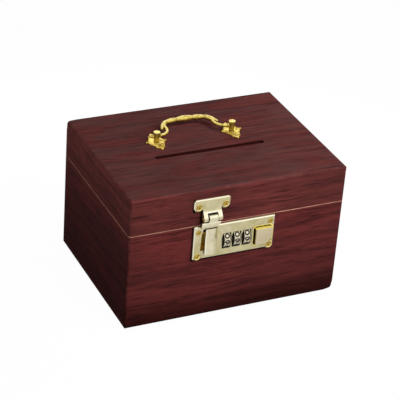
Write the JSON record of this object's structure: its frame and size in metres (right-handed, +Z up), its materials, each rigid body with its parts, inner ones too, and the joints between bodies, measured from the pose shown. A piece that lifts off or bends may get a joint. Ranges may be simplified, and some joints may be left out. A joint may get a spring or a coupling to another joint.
{
  "type": "donation box",
  "caption": "Stained wooden donation box with a slotted hinged lid, a folding brass bail handle and a combination dial hasp lock on the front.",
  "frame": {"origin": "centre of the underside, on the surface that the box stands on", "axes": "+Z up, -Y towards the lock side, +X to the right of someone who faces the lock"},
  "size_m": [0.2, 0.1605, 0.135],
  "materials": {
    "stained_wood": "mahogany stain, satin",
    "hinge_brass": "polished",
    "steel": "plain",
    "handle_brass": "cast and bright plated",
    "pale_gold": "pale gold plating",
    "screw_brass": "plated",
    "dial_metal": "pale gold plating with dark numbers",
    "case_metal": "zinc plated"
  },
  "bodies": {
    "case": {"base_board": "stained_wood", "front_board": "stained_wood", "back_board": "stained_wood", "left_board": "stained_wood", "right_board": "stained_wood", "left_hinge_body_leaf": "hinge_brass", "right_hinge_body_leaf": "hinge_brass", "left_hinge_pin": "steel", "right_hinge_pin": "steel", "body_hinge_screws": "hinge_brass", "lock_plate": "pale_gold", "lock_case": "case_metal", "dial_spindle": "steel", "click_spring": "steel", "lock_screws": "screw_brass"},
    "lid": {"lid_top_board": "stained_wood", "lid_front_rail": "stained_wood", "lid_back_rail": "stained_wood", "lid_left_rail": "stained_wood", "lid_right_rail": "stained_wood", "left_hinge_lid_leaf": "hinge_brass", "right_hinge_lid_leaf": "hinge_brass", "lid_hinge_screws": "hinge_brass", "left_leaf_plate": "handle_brass", "right_leaf_plate": "handle_brass", "left_post": "handle_brass", "right_post": "handle_brass", "leaf_plate_screws": "handle_brass", "hasp_plate": "pale_gold", "hasp_pin": "screw_brass", "hasp_screws": "screw_brass"},
    "lever": {"hasp_lever": "pale_gold"},
    "bail": {"bail": "handle_brass"},
    "left_dial": {"left_dial": "dial_metal", "left_cam": "screw_brass"},
    "middle_dial": {"middle_dial": "dial_metal", "middle_cam": "screw_brass"},
    "right_dial": {"right_dial": "dial_metal", "right_cam": "screw_brass"},
    "bar": {"slide_bar": "case_metal", "slide_button": "pale_gold"}
  },
  "joints": [
    {"name": "lid_hinge", "type": "hinge", "parent": "case", "child": "lid", "pos_m": [0, 0.0773, 0.0915], "axis": [-1, 0, 0], "range_deg": [0, 180]},
    {"name": "lever_swing", "type": "hinge", "parent": "lid", "child": "lever", "pos_m": [-0.0268, -0.0783, 0.099], "axis": [-1, 0, 0], "range_deg": [0, 140]},
    {"name": "bail_swing", "type": "hinge", "parent": "lid", "child": "bail", "pos_m": [-0.0044, 0.0132, 0.1312], "axis": [1, 0, 0], "range_deg": [0, 180]},
    {"name": "left_dial_spin", "type": "hinge", "parent": "case", "child": "left_dial", "pos_m": [-0.01135, -0.0703, 0.07335], "axis": [1, 0, 0], "continuous": true},
    {"name": "middle_dial_spin", "type": "hinge", "parent": "case", "child": "middle_dial", "pos_m": [-0.0021, -0.0703, 0.07335], "axis": [1, 0, 0], "continuous": true},
    {"name": "right_dial_spin", "type": "hinge", "parent": "case", "child": "right_dial", "pos_m": [0.00715, -0.0703, 0.07335], "axis": [1, 0, 0], "continuous": true},
    {"name": "bar_slide", "type": "slide", "parent": "case", "child": "bar", "axis": [-1, 0, 0], "range_m": [0, 0.0015]}
  ]
}
